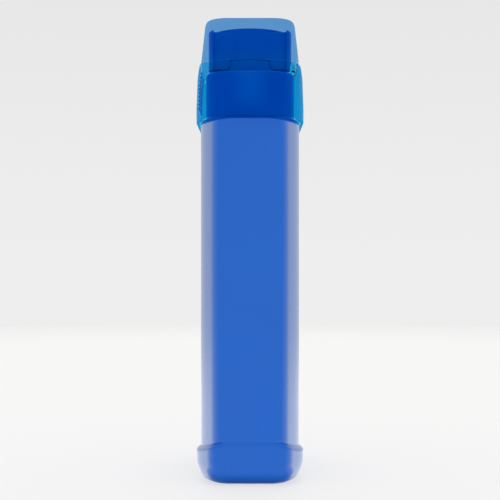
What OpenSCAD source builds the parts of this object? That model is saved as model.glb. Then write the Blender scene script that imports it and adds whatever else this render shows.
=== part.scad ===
// Flat one-litre bottle with a push-on cap, a see-through swing lid on a
// long-side hinge, and a ribbed push button that lets the lid go.
// Millimetres, +Z up, origin at the centre of the base.
// +X is the hinge side, -X the button side, Y the long direction of the plan.

/* [Bottle] */
// Overall height with the lid shut
total_h = 265; // [240:1:285]
// Width of the bottle body, across the hinge and button sides
body_w = 57; // [57:0.5:60]
// Depth of the bottle body, along the hinge
body_d = 93.8; // [92:0.2:100]
// Corner radius of the bottle body in plan
corner_r = 17; // [16:0.5:18]
// Wall thickness of the bottle
wall = 1.6; // [1.2:0.1:1.8]
// How far the foot stands out from the body on the wide sides
foot_flare = 2.45; // [1.8:0.05:2.6]
// Height of the top of the foot
foot_h = 20.1; // [19:0.1:26]
// Corner radius of the foot in plan
foot_r = 20; // [19:0.5:21]
// Radius of the inside of the neck and of the pouring mouth
mouth_r = 14.5; // [13.5:0.1:14.6]

/* [Cap] */
// Wall thickness of the clear skirt
skirt_wall = 1.6; // [1.2:0.1:1.7]
// Gap between the skirt and the body
skirt_gap = 0.85; // [0.7:0.05:1]
// Radial clearance of the cap sleeve on the neck
sleeve_fit = 0.1; // [0.05:0.01:0.1]
// Outer radius of the round boss that carries the mouth
boss_r = 24.2; // [23.8:0.1:24.2]

/* [Lid] */
// Wall thickness of the clear lid
lid_wall = 1.6; // [1.4:0.1:1.7]
// Radius of the stopper drum under the lid
drum_r = 23.6; // [22.8:0.1:23.6]
// Radius of the hinge pins
pin_r = 0.9; // [0.7:0.05:0.95]
// Radial clearance between a hinge pin and the lid knuckle
pin_fit = 0.05; // [0.03:0.01:0.08]
// Turn of the lid, for viewing; 0 is shut
lid_turn = 0; // [0:1:110]

/* [Button] */
// Half width of the ribbed pad
pad_hy = 15; // [13:0.5:16]
// Number of ribs on the pad
ribs = 10; // [6:1:10]
// Depth of the ribs
rib_d = 0.6; // [0.3:0.05:0.7]
// How far the button is pressed, for viewing
press = 0; // [0:0.1:2]

/* [Hidden] */
$fn = 96;
e = 0.01;

// half sizes of the body and foot
bx = body_w / 2;
by = body_d / 2;
fx = bx + foot_flare;
fy = by + 0.3;

// levels, all hung from the overall height
z_top = total_h;
z_part = z_top - 24.6;      // lower edge of the lid
z_rim = z_top - 24.9;       // top edge of the skirt
z_boss = z_top - 20.6;      // top of the mouth boss
z_plate = z_top - 29.8;     // top of the collar plate
z_neck = z_top - 37;        // top of the bottle neck
z_root = z_top - 52;        // foot of the neck on the shoulder
z_edge = z_top - 59.8;      // where the body side ends and the shoulder starts
z_coll = z_top - 55.2;      // lower edge of the collar
z_skf = z_top - 56;         // lower edge of the skirt on the narrow sides
z_sks = z_top - 59;         // lower edge of the skirt on the wide sides

// skirt, collar and lid half sizes
sx = bx + skirt_gap + skirt_wall;
sy = by + skirt_gap + skirt_wall;
sr = corner_r + 1.5;
cx = bx - 2.8;
cy = by - 2.9;
cr = corner_r - 1;
lx = bx - 0.15;
ly = by - 0.3;
lr = corner_r - 1.5;

// neck and sleeve
neck_r = mouth_r + 2;
sleeve_r = neck_r + sleeve_fit;

// hinge axis, parallel to Y
hx = lx - 1.95;
hz = z_top - 22.55;
heel_r = 1.95;

// outlines as [inset from the full size, height], bottom to top
foot_out = [[5.77, 0], [5.3, 0.4], [4.34, 1.4], [2.79, 3.2], [1.6, 5.5],
            [0.67, 8], [0, 11], [0, foot_h - 2.9], [0.15, foot_h - 2.1],
            [0.55, foot_h - 1.5], [1.15, foot_h - 0.9],
            [1.75, foot_h - 0.4], [foot_flare + 0.1, foot_h]];
foot_in = [[6.2, 3.6], [4.6, 4.4], [3, 6.2], [1.9, 8.6], [1.4, 11],
           [1.4, foot_h - 3.6], [foot_flare + 1.5, foot_h - 0.8]];
body_out = [[0, 12], [0, z_edge], [0.35, z_edge + 1.3], [1.2, z_edge + 2.4],
            [2.2, z_edge + 2.9], [3.2, z_edge + 3.1], [11, z_root]];
body_in = [[0, 8], [0, z_edge - 0.4], [1.4, z_edge + 1.0], [3, z_edge + 1.5],
           [10.2, z_root - 1.9]];
skirt_out = [[0, z_sks], [0, z_sks + 9.5], [0.2, z_top - 45],
             [0.4, z_top - 39], [0.65, z_top - 33.2], [1.05, z_top - 29.7],
             [1.4, z_top - 27.3], [1.65, z_top - 26.2], [1.95, z_rim]];
lid_out = [[0, z_part], [2.15, z_top - 5.2], [2.3, z_top - 3.8],
           [2.55, z_top - 2.4], [3, z_top - 1.2], [3.65, z_top - 0.35],
           [4.5, z_top]];
lid_in = [[lid_wall, z_part - 1], [lid_wall, z_part],
          [lid_wall + 2.15, z_top - 5.2], [lid_wall + 2.35, z_top - 3.6],
          [4.6, z_top - 1.9]];
coll_out = [[0, z_coll], [0, z_plate - 3.6], [0.3, z_plate - 1.9],
            [1.1, z_plate - 0.6], [2.4, z_plate]];

// ribbed pad
pad_z0 = z_top - 48.6;
pad_z1 = z_top - 25.5;
rib_p = 2.28;

// tongue of the button, and the lid hook that it holds
tz0 = z_plate + 0.3;
tz1 = tz0 + 1.8;
stem_x0 = -24;
stem_x1 = -22;
barb_x = -20.3;
bar_x0 = -21.7;
bar_x1 = -19.3;
leg_x = -21.9;
spring_y = 12;
spring_z = z_plate - 3.7;
seat_x = -16.2;

clear_blue = [0.25, 0.6, 0.9, 0.55];
deep_blue = [0.03, 0.2, 0.62];

// inset of a profile at a height, by straight lines between its points
function at(p, z) = let (i = max([for (k = [0 : len(p) - 2]) p[k][1] <= z ? k : 0]))
    p[i][0] + (p[i + 1][0] - p[i][0]) * (z - p[i][1]) / (p[i + 1][1] - p[i][1]);

// solid whose edge outline runs round a rectangle with rounded corners
module rounded_sweep(hx, hy, r, p) {
    n = len(p);
    translate([0, hy - r, 0]) rotate([90, 0, 0])
        linear_extrude(height = 2 * (hy - r))
            polygon(concat([for (q = p) [hx - q[0], q[1]]],
                           [for (i = [n - 1 : -1 : 0]) [p[i][0] - hx, p[i][1]]]));
    translate([r - hx, 0, 0]) rotate([90, 0, 90])
        linear_extrude(height = 2 * (hx - r))
            polygon(concat([for (q = p) [hy - q[0], q[1]]],
                           [for (i = [n - 1 : -1 : 0]) [p[i][0] - hy, p[i][1]]]));
    for (a = [-1, 1], b = [-1, 1])
        translate([a * (hx - r), b * (hy - r), 0])
            rotate_extrude()
                polygon(concat([[0, p[0][1]]], [for (q = p) [r - q[0], q[1]]],
                               [[0, p[n - 1][1]]]));
}

// ring about Z
module ring(ro, ri, z0, z1) {
    translate([0, 0, z0]) difference() {
        cylinder(r = ro, h = z1 - z0);
        translate([0, 0, -1]) cylinder(r = ri, h = z1 - z0 + 2);
    }
}

// box from corner to corner
module block(a, b) {
    translate(a) cube([b[0] - a[0], b[1] - a[1], b[2] - a[2]]);
}

// round bar along Y
module bar_y(r, x, z, y0, y1) {
    translate([x, y1, z]) rotate([90, 0, 0]) cylinder(r = r, h = y1 - y0, $fn = 48);
}

// blow-moulded bottle with a flared foot, sloping shoulder and plain neck
module bottle_shell() {
    color(deep_blue) difference() {
        union() {
            rounded_sweep(fx, fy, foot_r, foot_out);
            rounded_sweep(bx, by, corner_r, body_out);
            translate([0, 0, z_root - 2]) cylinder(r = neck_r, h = z_neck - z_root + 1.4);
            translate([0, 0, z_neck - 0.6]) cylinder(r1 = neck_r, r2 = neck_r - 0.6, h = 0.6);
        }
        rounded_sweep(fx, fy, foot_r, foot_in);
        rounded_sweep(bx - wall, by - wall, corner_r - wall, body_in);
        translate([0, 0, z_root - 8]) cylinder(r = mouth_r, h = z_neck - z_root + 10);
        // shallow push-up under the base
        rounded_sweep(bx - 8.5, by - 10.5, corner_r - 7, [[0, -1], [0, 0.6], [1.2, 1.6]]);
    }
}

// soft flat ring that seals the cap on the rim of the neck
module neck_gasket() {
    color([0.85, 0.88, 0.9]) ring(neck_r, mouth_r + 0.2, z_neck, z_neck + 1.6);
}

// inner cap: sleeve on the neck, outer wall, plate, and the boss with the mouth
module cap_collar() {
    color(deep_blue) difference() {
        union() {
            difference() {
                rounded_sweep(cx, cy, cr, coll_out);
                rounded_sweep(cx - 1.8, cy - 1.8, cr - 1.8,
                              [[0, z_coll - 1], [0, z_plate - 2]]);
            }
            translate([0, 0, z_root + 0.8])
                cylinder(r = sleeve_r + 1.8, h = z_plate - 2 - z_root);
            translate([0, 0, z_plate - 2]) cylinder(r = boss_r, h = z_boss - z_plate + 2);
            // seats of the two button springs
            for (s = [-1, 1])
                block([seat_x, s > 0 ? 7.5 : -14.5, z_plate - 6.6],
                      [seat_x + 1, s > 0 ? 14.5 : -7.5, z_plate - 1.6]);
        }
        // sleeve bore, then the mouth
        translate([0, 0, z_coll - 2]) cylinder(r = sleeve_r, h = z_neck + 1.6 - z_coll + 2);
        translate([0, 0, z_neck]) cylinder(r = mouth_r, h = 40);
        translate([0, 0, z_boss - 0.8]) cylinder(r1 = mouth_r, r2 = mouth_r + 0.9, h = 0.9);
        // coring inside the boss
        difference() {
            translate([0, 0, z_neck + 3.4]) cylinder(r = boss_r - 1.8, h = z_boss - z_neck - 5.2);
            translate([0, 0, z_neck + 3]) cylinder(r = mouth_r + 2, h = z_boss - z_neck);
        }
        // pocket for the button tongue
        block([-40, -pad_hy - 0.2, z_plate], [-17, pad_hy + 0.2, z_plate + 2.4]);
        // slot that the lid hook drops through
        block([-25.4, -5.6, z_plate - 3], [-19.9, 5.6, z_boss + 1]);
        // slots for the button legs
        for (s = [-1, 1])
            block([-24.2, s > 0 ? 9.4 : -14.6, z_plate - 2.5],
                  [-17, s > 0 ? 14.6 : -9.4, z_plate + 0.5]);
    }
}

// clear outer skirt with its deck, the hinge ears and the window for the button
module cap_skirt() {
    inner = [for (q = skirt_out) [q[0] + skirt_wall, q[1]]];
    n = len(inner);
    color(clear_blue) difference() {
        union() {
            difference() {
                rounded_sweep(sx, sy, sr, skirt_out);
                rounded_sweep(sx, sy, sr, concat([[skirt_wall, z_sks - 1]], inner,
                              [[inner[n - 1][0], z_rim + 1]]));
            }
            // deck that rests on the collar plate
            rounded_sweep(sx - 2, sy - 2, sr - 2, [[0, z_plate], [0.25, z_plate + 1.6]]);
            // hinge ears
            for (y = [-22.5, -12, 9.5, 20]) {
                bar_y(heel_r, hx, hz, y, y + 2.5);
                block([hx - heel_r, y, z_plate + 1], [hx + 1, y + 2.5, hz]);
            }
        }
        // round hole for the boss
        translate([0, 0, z_plate - 1]) cylinder(r = boss_r + 0.3, h = 4);
        // window for the ribbed pad, open at the rim
        block([-40, -pad_hy - 0.25, pad_z0 - 0.25], [-26.5, pad_hy + 0.25, z_top]);
        // gap in the deck for the tongue and the legs
        block([-40, -pad_hy - 0.25, z_plate - 1], [-15, pad_hy + 0.25, z_plate + 4]);
        // lower edge arches up on the narrow sides
        translate([0, 60, 0]) rotate([90, 0, 0]) linear_extrude(height = 120)
            polygon([[-29.8, z_sks - 2], [-29.8, z_sks], [-28.6, z_sks + 0.4],
                     [-27.6, z_skf - 1.9], [-26.8, z_skf - 0.7], [-25.8, z_skf - 0.15],
                     [-24.5, z_skf], [24.5, z_skf], [25.8, z_skf - 0.15],
                     [26.8, z_skf - 0.7], [27.6, z_skf - 1.9], [28.6, z_sks + 0.4],
                     [29.8, z_sks], [29.8, z_sks - 2]]);
        // rim relieved where the open lid leans back
        translate([0, 60, 0]) rotate([90, 0, 0]) linear_extrude(height = 120)
            polygon([[hx + 0.2, z_rim - 0.3], [hx + 3.2, z_rim - 1.35],
                     [hx + 6, z_rim - 2.3], [hx + 6, z_rim + 2], [hx + 0.2, z_rim + 2]]);
        // pin holes
        bar_y(pin_r + 0.01, hx, hz, -23, 23);
    }
}

// clear lid, with its knuckles and the heel that turns on the hinge axis
module swing_lid() {
    color(clear_blue) difference() {
        union() {
            difference() {
                rounded_sweep(lx, ly, lr, lid_out);
                rounded_sweep(lx, ly, lr, lid_in);
            }
            for (y = [-19.8, 12.2]) bar_y(heel_r, hx, hz, y, y + 7.6);
        }
        // heel
        difference() {
            block([hx, -60, z_part - 3], [hx + 6, 60, hz]);
            bar_y(heel_r, hx, hz, -61, 61);
        }
        // room for the ears
        for (y = [-22.7, -12.2, 9.3, 19.8])
            block([hx - 4, y, z_part - 3], [hx + 6, y + 2.9, hz + 3.55]);
        bar_y(pin_r + pin_fit, hx, hz, -25, 25);
    }
}

// stopper drum under the lid: side plates, plug, and the hook that latches
module stopper() {
    color(deep_blue) difference() {
        union() {
            translate([0, 0, z_boss + 0.8]) cylinder(r = drum_r, h = z_top - 1.9 - z_boss - 0.8);
            for (s = [-1, 1])
                block([s > 0 ? drum_r - 2.4 : -drum_r, -23, z_boss + 0.8],
                      [s > 0 ? drum_r : 2.4 - drum_r, 23, z_top - 1.9]);
            translate([0, 0, z_boss - 4.9])
                cylinder(r1 = mouth_r - 0.9, r2 = mouth_r - 0.3, h = 6);
            block([stem_x0, -4.5, z_plate - 1.5], [stem_x1, 4.5, z_boss + 3]);
            // barb under the bar of the button
            translate([0, 4.5, 0]) rotate([90, 0, 0]) linear_extrude(height = 9)
                polygon([[stem_x1 - e, z_plate - 1.5], [stem_x1 + 0.4, z_plate - 1.5],
                         [barb_x, z_plate - 0.4], [barb_x, z_plate + 0.15],
                         [stem_x1 - e, z_plate + 0.15]]);
        }
        translate([0, 0, z_boss + 2.6]) cylinder(r = drum_r - 1.8, h = 40);
        translate([0, 0, z_boss - 3.1]) cylinder(r = mouth_r - 2.6, h = 20);
        // seal groove
        ring(mouth_r + 2.3, mouth_r + 0.4, z_boss, z_boss + 1.4);
    }
}

// soft ring in the stopper that closes on the boss
module mouth_seal() {
    color([0.85, 0.88, 0.9]) ring(mouth_r + 2.25, mouth_r + 0.95, z_boss, z_boss + 1.4);
}

// two short hinge pins
module hinge_pins() {
    color([0.75, 0.77, 0.8]) for (y = [-22.5, 9.5]) bar_y(pin_r, hx, hz, y, y + 13);
}

// button: ribbed pad, tongue with its window, catch bar, legs and spring posts
module release_button() {
    n = 8;
    step = (pad_z1 - pad_z0) / n;
    face = [for (i = [0 : n]) let (z = pad_z0 + i * step)
                [-(sx - at(skirt_out, z) - rib_d), z]];
    back = [for (i = [n : -1 : 0]) let (z = pad_z0 + i * step)
                [-(sx - at(skirt_out, z) - 2), z]];
    color(clear_blue) {
        difference() {
            union() {
                translate([0, pad_hy, 0]) rotate([90, 0, 0])
                    linear_extrude(height = 2 * pad_hy) polygon(concat(face, back));
                for (i = [0 : ribs - 1]) {
                    z = pad_z0 + 1.3 + i * rib_p;
                    xt = -(sx - at(skirt_out, z) + 0.12);
                    translate([0, pad_hy - 1, 0]) rotate([90, 0, 0])
                        linear_extrude(height = 2 * pad_hy - 2)
                            polygon([[xt, z - 0.35], [xt, z + 0.35],
                                     [xt + rib_d + 0.5, z + 0.75],
                                     [xt + rib_d + 0.5, z - 0.75]]);
                }
                block([-28.6, -pad_hy + 0.5, tz0], [bar_x1, pad_hy - 0.5, tz1]);
                for (s = [-1, 1]) {
                    block([leg_x - 1.5, s > 0 ? 9.8 : -14.2, z_plate - 6],
                          [leg_x, s > 0 ? 14.2 : -9.8, tz0 + 0.5]);
                    translate([leg_x - 0.5, s * spring_y, spring_z]) rotate([0, 90, 0])
                        cylinder(r = 1.2, h = 2.1, $fn = 32);
                }
            }
            block([bar_x0 - 4.6, -5.6, tz0 - 1], [bar_x0, 5.6, tz1 + 1]);
        }
    }
}

// two small compression springs that hold the button out
function coil(x0, x1, r, turns, i, n) =
    [x0 + (x1 - x0) * i / n, r * cos(360 * turns * i / n), r * sin(360 * turns * i / n)];

module spring(x0, x1, r, w, turns) {
    n = round(turns * 16);
    k = 6;
    pts = [for (i = [0 : n]) let (c = coil(x0 + w, x1 - w, r, turns, i, n),
                                  a = 360 * turns * i / n)
           for (j = [0 : k - 1]) let (b = 360 * j / k)
               [c[0] + w * sin(b), c[1] + w * cos(b) * cos(a), c[2] + w * cos(b) * sin(a)]];
    sides = [for (i = [0 : n - 1], j = [0 : k - 1])
             [i * k + j, (i + 1) * k + j, (i + 1) * k + (j + 1) % k, i * k + (j + 1) % k]];
    polyhedron(points = pts,
               faces = concat([[for (j = [0 : k - 1]) j]], sides,
                              [[for (j = [k - 1 : -1 : 0]) n * k + j]]));
}

module button_springs() {
    color([0.7, 0.72, 0.75]) for (s = [-1, 1])
        translate([0, s * spring_y, spring_z])
            spring(leg_x + 0.05, seat_x - 0.05, 1.75, 0.25, 4.5);
}

module on_lid() {
    translate([hx, 0, hz]) rotate([0, lid_turn, 0]) translate([-hx, 0, -hz]) children();
}

bottle_shell();
neck_gasket();
cap_collar();
cap_skirt();
on_lid() swing_lid();
on_lid() stopper();
on_lid() mouth_seal();
hinge_pins();
translate([press, 0, 0]) release_button();
button_springs();
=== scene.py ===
import math

import bmesh
import bpy
import numpy as np
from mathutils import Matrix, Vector


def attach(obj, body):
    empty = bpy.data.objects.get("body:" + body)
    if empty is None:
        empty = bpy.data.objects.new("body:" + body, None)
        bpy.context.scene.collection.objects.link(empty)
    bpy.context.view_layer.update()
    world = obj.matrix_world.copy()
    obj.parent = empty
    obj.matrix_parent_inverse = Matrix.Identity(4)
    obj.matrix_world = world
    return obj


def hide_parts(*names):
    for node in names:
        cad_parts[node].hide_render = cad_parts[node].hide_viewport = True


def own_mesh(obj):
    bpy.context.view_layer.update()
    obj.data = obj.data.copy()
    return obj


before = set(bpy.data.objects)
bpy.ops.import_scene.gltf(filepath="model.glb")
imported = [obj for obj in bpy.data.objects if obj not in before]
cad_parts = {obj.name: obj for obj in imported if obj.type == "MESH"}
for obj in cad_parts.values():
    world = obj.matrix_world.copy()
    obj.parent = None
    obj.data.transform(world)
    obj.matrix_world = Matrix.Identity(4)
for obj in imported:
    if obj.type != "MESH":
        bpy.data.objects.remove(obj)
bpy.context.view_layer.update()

MM = 0.001
PI = math.pi

# ---------------------------------------------------------------- levels, in millimetres
Z_TOP, Z_PART, Z_RIM, Z_BOSS, Z_PLATE, Z_NECK, Z_ROOT = 265.0, 240.4, 240.1, 244.4, 235.2, 228.0, 213.0
Z_EDGE, Z_COLL, Z_SKF, Z_SKS = 205.2, 209.8, 209.0, 206.0
MOUTH_R, NECK_R, SLEEVE_R, BOSS_R, DRUM_R = 14.5, 16.5, 16.6, 24.2, 23.6
HX, HZ, HEEL, PIN = 26.4, 242.45, 1.95, 0.9


# ---------------------------------------------------------------- outlines and profiles
def smooth(t):
    t = np.clip(t, 0.0, 1.0)
    return t * t * (3 - 2 * t)


def outline(hx, hy, r, m=20, kx=6, ky=10):
    """Rounded rectangle, counter-clockwise, starting low on the +X side."""
    p = []

    def side(a, b, k):
        for i in range(k):
            p.append((a[0] + (b[0] - a[0]) * i / k, a[1] + (b[1] - a[1]) * i / k))

    def arc(cx, cy, a0):
        for i in range(m):
            a = a0 + PI / 2 * i / m
            p.append((cx + r * math.cos(a), cy + r * math.sin(a)))

    side((hx, r - hy), (hx, hy - r), ky)
    arc(hx - r, hy - r, 0)
    side((hx - r, hy), (r - hx, hy), kx)
    arc(r - hx, hy - r, PI / 2)
    side((-hx, hy - r), (-hx, r - hy), ky)
    arc(r - hx, r - hy, PI)
    side((r - hx, -hy), (hx - r, -hy), kx)
    arc(hx - r, r - hy, 1.5 * PI)
    return np.array(p)


def facing(m=20, kx=6, ky=10):
    """Angle of the outward normal at each point of outline()."""
    a = [0.0] * ky + [PI / 2 * i / m for i in range(m)]
    a += [PI / 2] * kx + [PI / 2 + PI / 2 * i / m for i in range(m)]
    a += [PI] * ky + [PI + PI / 2 * i / m for i in range(m)]
    a += [1.5 * PI] * kx + [1.5 * PI + PI / 2 * i / m for i in range(m)]
    return np.array(a)


def family(hx, hy, r, m=20, kx=6, ky=10):
    return lambda q: outline(hx - q, hy - q, max(r - q, 0.6), m, kx, ky)


def circle_like(ref, radius):
    """Points of a circle in the same directions as the points of ref."""
    return ref / np.linalg.norm(ref, axis=1)[:, None] * radius


def lift(xy, z):
    """A ring at a height, which may change round the ring."""
    return np.column_stack([xy, np.broadcast_to(z, len(xy))])


def rounded(points, seg=6, near=0.3, most=30.0):
    """Open path through (a, b, radius) with its corners rounded, and extra points close to each end of a straight so that shading stays flat there."""
    out = []
    n = len(points)
    for i, (a, b, r) in enumerate(points):
        p = np.array([a, b], float)
        if r <= 0 or i in (0, n - 1):
            out.append(p)
            continue
        u = np.array(points[i - 1][:2], float) - p
        v = np.array(points[i + 1][:2], float) - p
        lu, lv = np.linalg.norm(u), np.linalg.norm(v)
        u, v = u / lu, v / lv
        c = np.clip(np.dot(u, v), -1, 1)
        half = math.acos(c) / 2
        if half > PI / 2 - 0.01:
            out.append(p)
            continue
        t = min(r / math.tan(half), 0.49 * lu, 0.49 * lv)
        r = t * math.tan(half)
        mid = (u + v) / np.linalg.norm(u + v)
        o = p + mid * (r / math.sin(half))
        s, e = p + u * t - o, p + v * t - o
        a0, a1 = math.atan2(s[1], s[0]), math.atan2(e[1], e[0])
        d = (a1 - a0 + PI) % (2 * PI) - PI
        for k in range(seg + 1):
            x = a0 + d * k / seg
            out.append(o + r * np.array([math.cos(x), math.sin(x)]))
    full = [out[0]]
    for p, q in zip(out, out[1:]):
        d = np.linalg.norm(q - p)
        if d < 1e-6:
            continue
        if d > 4 * near:
            full.append(p + (q - p) * near / d)
            k = int(d // most)
            for j in range(1, k + 1):
                full.append(p + (q - p) * j / (k + 1))
            full.append(q - (q - p) * near / d)
        full.append(q)
    return np.array(full)


def through(points, per=4):
    """Smooth path through the points (centripetal Catmull-Rom)."""
    p = np.array(points, float)
    p = np.vstack([2 * p[0] - p[1], p, 2 * p[-1] - p[-2]])
    out = []
    for i in range(1, len(p) - 2):
        a, b, c, d = p[i - 1], p[i], p[i + 1], p[i + 2]
        t0 = 0.0
        t1 = t0 + math.sqrt(np.linalg.norm(b - a))
        t2 = t1 + math.sqrt(np.linalg.norm(c - b))
        t3 = t2 + math.sqrt(np.linalg.norm(d - c))
        for k in range(per):
            t = t1 + (t2 - t1) * k / per
            a1 = (t1 - t) / (t1 - t0) * a + (t - t0) / (t1 - t0) * b
            a2 = (t2 - t) / (t2 - t1) * b + (t - t1) / (t2 - t1) * c
            a3 = (t3 - t) / (t3 - t2) * c + (t - t2) / (t3 - t2) * d
            b1 = (t2 - t) / (t2 - t0) * a1 + (t - t0) / (t2 - t0) * a2
            b2 = (t3 - t) / (t3 - t1) * a2 + (t - t1) / (t3 - t1) * a3
            out.append((t2 - t) / (t2 - t1) * b1 + (t - t1) / (t2 - t1) * b2)
    out.append(p[-2])
    return np.array(out)


# ---------------------------------------------------------------- meshes
def loft(rings, loop=False, caps=(False, False)):
    n = len(rings[0])
    verts = np.concatenate(rings)
    faces = []
    last = len(rings) if loop else len(rings) - 1
    for i in range(last):
        a, b = i * n, ((i + 1) % len(rings)) * n
        for j in range(n):
            k = (j + 1) % n
            faces.append((a + j, a + k, b + k, b + j))
    if caps[0]:
        faces.append(tuple(range(n - 1, -1, -1)))
    if caps[1]:
        o = (len(rings) - 1) * n
        faces.append(tuple(range(o, o + n)))
    return verts, faces


def make(name, verts, faces):
    me = bpy.data.meshes.new(name)
    me.from_pydata((np.asarray(verts) * MM).tolist(), [], faces)
    bm = bmesh.new()
    bm.from_mesh(me)
    bmesh.ops.remove_doubles(bm, verts=bm.verts, dist=1e-7)
    bmesh.ops.recalc_face_normals(bm, faces=bm.faces)
    bm.to_mesh(me)
    bm.free()
    ob = bpy.data.objects.new(name, me)
    bpy.context.scene.collection.objects.link(ob)
    return ob


def revolve(name, path, n=144, closed=True, centre=(0, 0), axis="z"):
    """Solid of revolution from (radius, height) points. A path that isn't closed starts and ends on the axis."""
    ang = np.linspace(0, 2 * PI, n, endpoint=False)
    cs = np.column_stack([np.cos(ang), np.sin(ang)])
    rings = [lift(cs * max(r, 1e-4) + centre, z) for r, z in path]
    v, f = loft(rings, loop=closed, caps=(False, False) if closed else (True, True))
    if axis == "y":
        v = np.column_stack([v[:, 0], -v[:, 2], v[:, 1]])
    if axis == "x":
        v = np.column_stack([v[:, 2], v[:, 0], v[:, 1]])
    return make(name, v, f)


def rounded_box(name, lo, hi, r=0.3, corner=None, m=4):
    """Box with its upright edges rounded by corner and its top and bottom edges by r."""
    corner = corner if corner is not None else r
    cx, cy = (lo[0] + hi[0]) / 2, (lo[1] + hi[1]) / 2
    hx, hy = (hi[0] - lo[0]) / 2, (hi[1] - lo[1]) / 2
    corner = min(corner, hx - 0.01, hy - 0.01)
    r = min(r, corner, (hi[2] - lo[2]) / 2 - 0.01)
    rings = []
    for k in range(m + 1):
        a = PI / 2 * k / m
        rings.append((r * (1 - math.sin(a)), lo[2] + r * (1 - math.cos(a))))
    for k in range(m + 1):
        a = PI / 2 * k / m
        rings.append((r * (1 - math.cos(a)), hi[2] - r * (1 - math.sin(a))))
    full = [(r + min(0.3, hx * 0.2), lo[2])] + rings + [(r + min(0.3, hx * 0.2), hi[2])]
    out = []
    for q, z in full:
        ring = outline(hx - q, hy - q, max(corner - q, 0.02), 6, 1, 1) + (cx, cy)
        out.append(lift(ring, z))
    v, f = loft(out, caps=(True, True))
    return make(name, v, f)


def prism_y(name, poly, y0, y1, edge=0.0):
    """Outline in X and Z pushed out along Y, with its end edges chamfered."""
    bm = bmesh.new()
    a = [bm.verts.new((x * MM, y0 * MM, z * MM)) for x, z in poly]
    b = [bm.verts.new((x * MM, y1 * MM, z * MM)) for x, z in poly]
    bm.faces.new(a)
    bm.faces.new(b[::-1])
    n = len(poly)
    for i in range(n):
        bm.faces.new((a[i], b[i], b[(i + 1) % n], a[(i + 1) % n]))
    bmesh.ops.recalc_face_normals(bm, faces=bm.faces)
    if edge > 0:
        ends = [e for e in bm.edges if abs(e.verts[0].co.y - e.verts[1].co.y) < 1e-9]
        bmesh.ops.bevel(bm, geom=ends, offset=edge * MM, segments=2, profile=0.5, affect="EDGES", clamp_overlap=True)
    me = bpy.data.meshes.new(name)
    bm.to_mesh(me)
    bm.free()
    ob = bpy.data.objects.new(name, me)
    bpy.context.scene.collection.objects.link(ob)
    return ob


def combine(base, steps):
    """Applies booleans in turn: steps is [(op, object)], and the objects are used up."""
    for op, other in steps:
        mod = base.modifiers.new(op, "BOOLEAN")
        mod.operation = op
        mod.object = other
        mod.solver = "MANIFOLD"
    bpy.context.view_layer.update()
    deps = bpy.context.evaluated_depsgraph_get()
    me = bpy.data.meshes.new_from_object(base.evaluated_get(deps))
    base.modifiers.clear()
    old = base.data
    base.data = me
    me.name = base.name
    bpy.data.meshes.remove(old)
    for _, other in steps:
        data = other.data
        bpy.data.objects.remove(other)
        bpy.data.meshes.remove(data)
    return base


def finish_mesh(ob, angle=32):
    """Removes stray faces and shades smooth, except across sharp edges."""
    me = ob.data
    bm = bmesh.new()
    bm.from_mesh(me)
    bmesh.ops.remove_doubles(bm, verts=bm.verts, dist=2e-7)
    bmesh.ops.dissolve_degenerate(bm, edges=bm.edges, dist=1e-7)
    loose = [v for v in bm.verts if not v.link_faces]
    bmesh.ops.delete(bm, geom=loose, context="VERTS")
    bmesh.ops.recalc_face_normals(bm, faces=bm.faces)
    bm.to_mesh(me)
    bm.free()
    me.polygons.foreach_set("use_smooth", [True] * len(me.polygons))
    me.set_sharp_from_angle(angle=math.radians(angle))
    me.update()
    return ob


# ---------------------------------------------------------------- materials
def nodes_of(name):
    mat = bpy.data.materials.new(name)
    mat.use_nodes = True
    nt = mat.node_tree
    nt.nodes.clear()
    out = nt.nodes.new("ShaderNodeOutputMaterial")
    p = nt.nodes.new("ShaderNodeBsdfPrincipled")
    nt.links.new(p.outputs["BSDF"], out.inputs["Surface"])
    return mat, nt, p


def noise_of(nt, scale, detail=2.0, rough=0.5, stretch=None):
    tc = nt.nodes.new("ShaderNodeTexCoord")
    n = nt.nodes.new("ShaderNodeTexNoise")
    n.inputs["Scale"].default_value = scale
    n.inputs["Detail"].default_value = detail
    n.inputs["Roughness"].default_value = rough
    if stretch:
        mp = nt.nodes.new("ShaderNodeMapping")
        mp.inputs["Scale"].default_value = stretch
        nt.links.new(tc.outputs["Object"], mp.inputs["Vector"])
        nt.links.new(mp.outputs["Vector"], n.inputs["Vector"])
    else:
        nt.links.new(tc.outputs["Object"], n.inputs["Vector"])
    return n.outputs["Fac"]


def spread(nt, value, lo, hi, low=0.3, high=0.7):
    m = nt.nodes.new("ShaderNodeMapRange")
    m.inputs["From Min"].default_value = low
    m.inputs["From Max"].default_value = high
    m.inputs["To Min"].default_value = lo
    m.inputs["To Max"].default_value = hi
    nt.links.new(value, m.inputs["Value"])
    return m.outputs["Result"]


def math_of(nt, op, a, b=None):
    m = nt.nodes.new("ShaderNodeMath")
    m.operation = op
    for s, v in zip(m.inputs, (a, b)):
        if v is None:
            continue
        if isinstance(v, (int, float)):
            s.default_value = v
        else:
            nt.links.new(v, s)
    return m.outputs["Value"]


def mix_of(nt, fac, a, b):
    m = nt.nodes.new("ShaderNodeMix")
    m.data_type = "RGBA"
    nt.links.new(fac, m.inputs["Factor"])
    for s, v in ((m.inputs["A"], a), (m.inputs["B"], b)):
        if isinstance(v, tuple):
            s.default_value = (*v, 1)
        else:
            nt.links.new(v, s)
    return m.outputs["Result"]


def bump_of(nt, height, distance, strength=1.0, normal=None):
    b = nt.nodes.new("ShaderNodeBump")
    b.inputs["Distance"].default_value = distance
    b.inputs["Strength"].default_value = strength
    nt.links.new(height, b.inputs["Height"])
    if normal is not None:
        nt.links.new(normal, b.inputs["Normal"])
    return b.outputs["Normal"]


GLOSS = 0.35


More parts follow.
